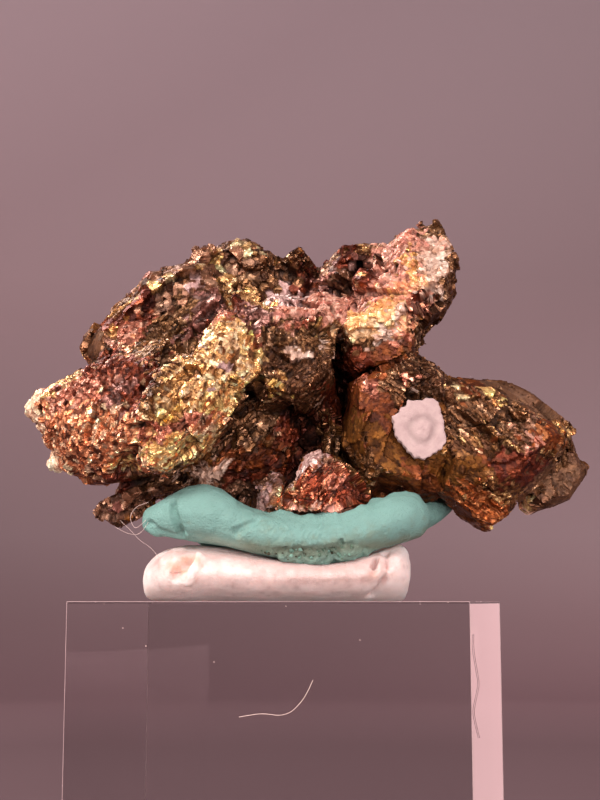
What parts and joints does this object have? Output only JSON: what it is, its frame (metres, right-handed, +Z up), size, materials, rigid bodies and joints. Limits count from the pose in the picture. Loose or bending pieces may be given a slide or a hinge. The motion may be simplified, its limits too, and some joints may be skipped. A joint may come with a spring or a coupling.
{
  "type": "mounted pyrite specimen",
  "caption": "Irregular mass of tarnished brassy ore with blocky crystals, held by rolls of putty on a clear display cube.",
  "frame": {"origin": "centre of the cube's underside, on the surface that it stands on", "axes": "+Z up, X and Y square to the cube's sides; the ore's front, with the white crust, faces -Y turned 12 degrees towards +X"},
  "size_m": [0.0516, 0.0343, 0.0673],
  "materials": {
    "ore": "tarnished metallic crystals",
    "crust": "matt chalky crust",
    "green_putty": "matt kneaded putty",
    "white_putty": "matt kneaded putty",
    "acrylic": "polished clear"
  },
  "bodies": {
    "root": {"pyrite": "ore", "white_crust": "crust", "green_putty": "green_putty", "white_putty": "white_putty", "acrylic_block": "acrylic"}
  },
  "joints": []
}
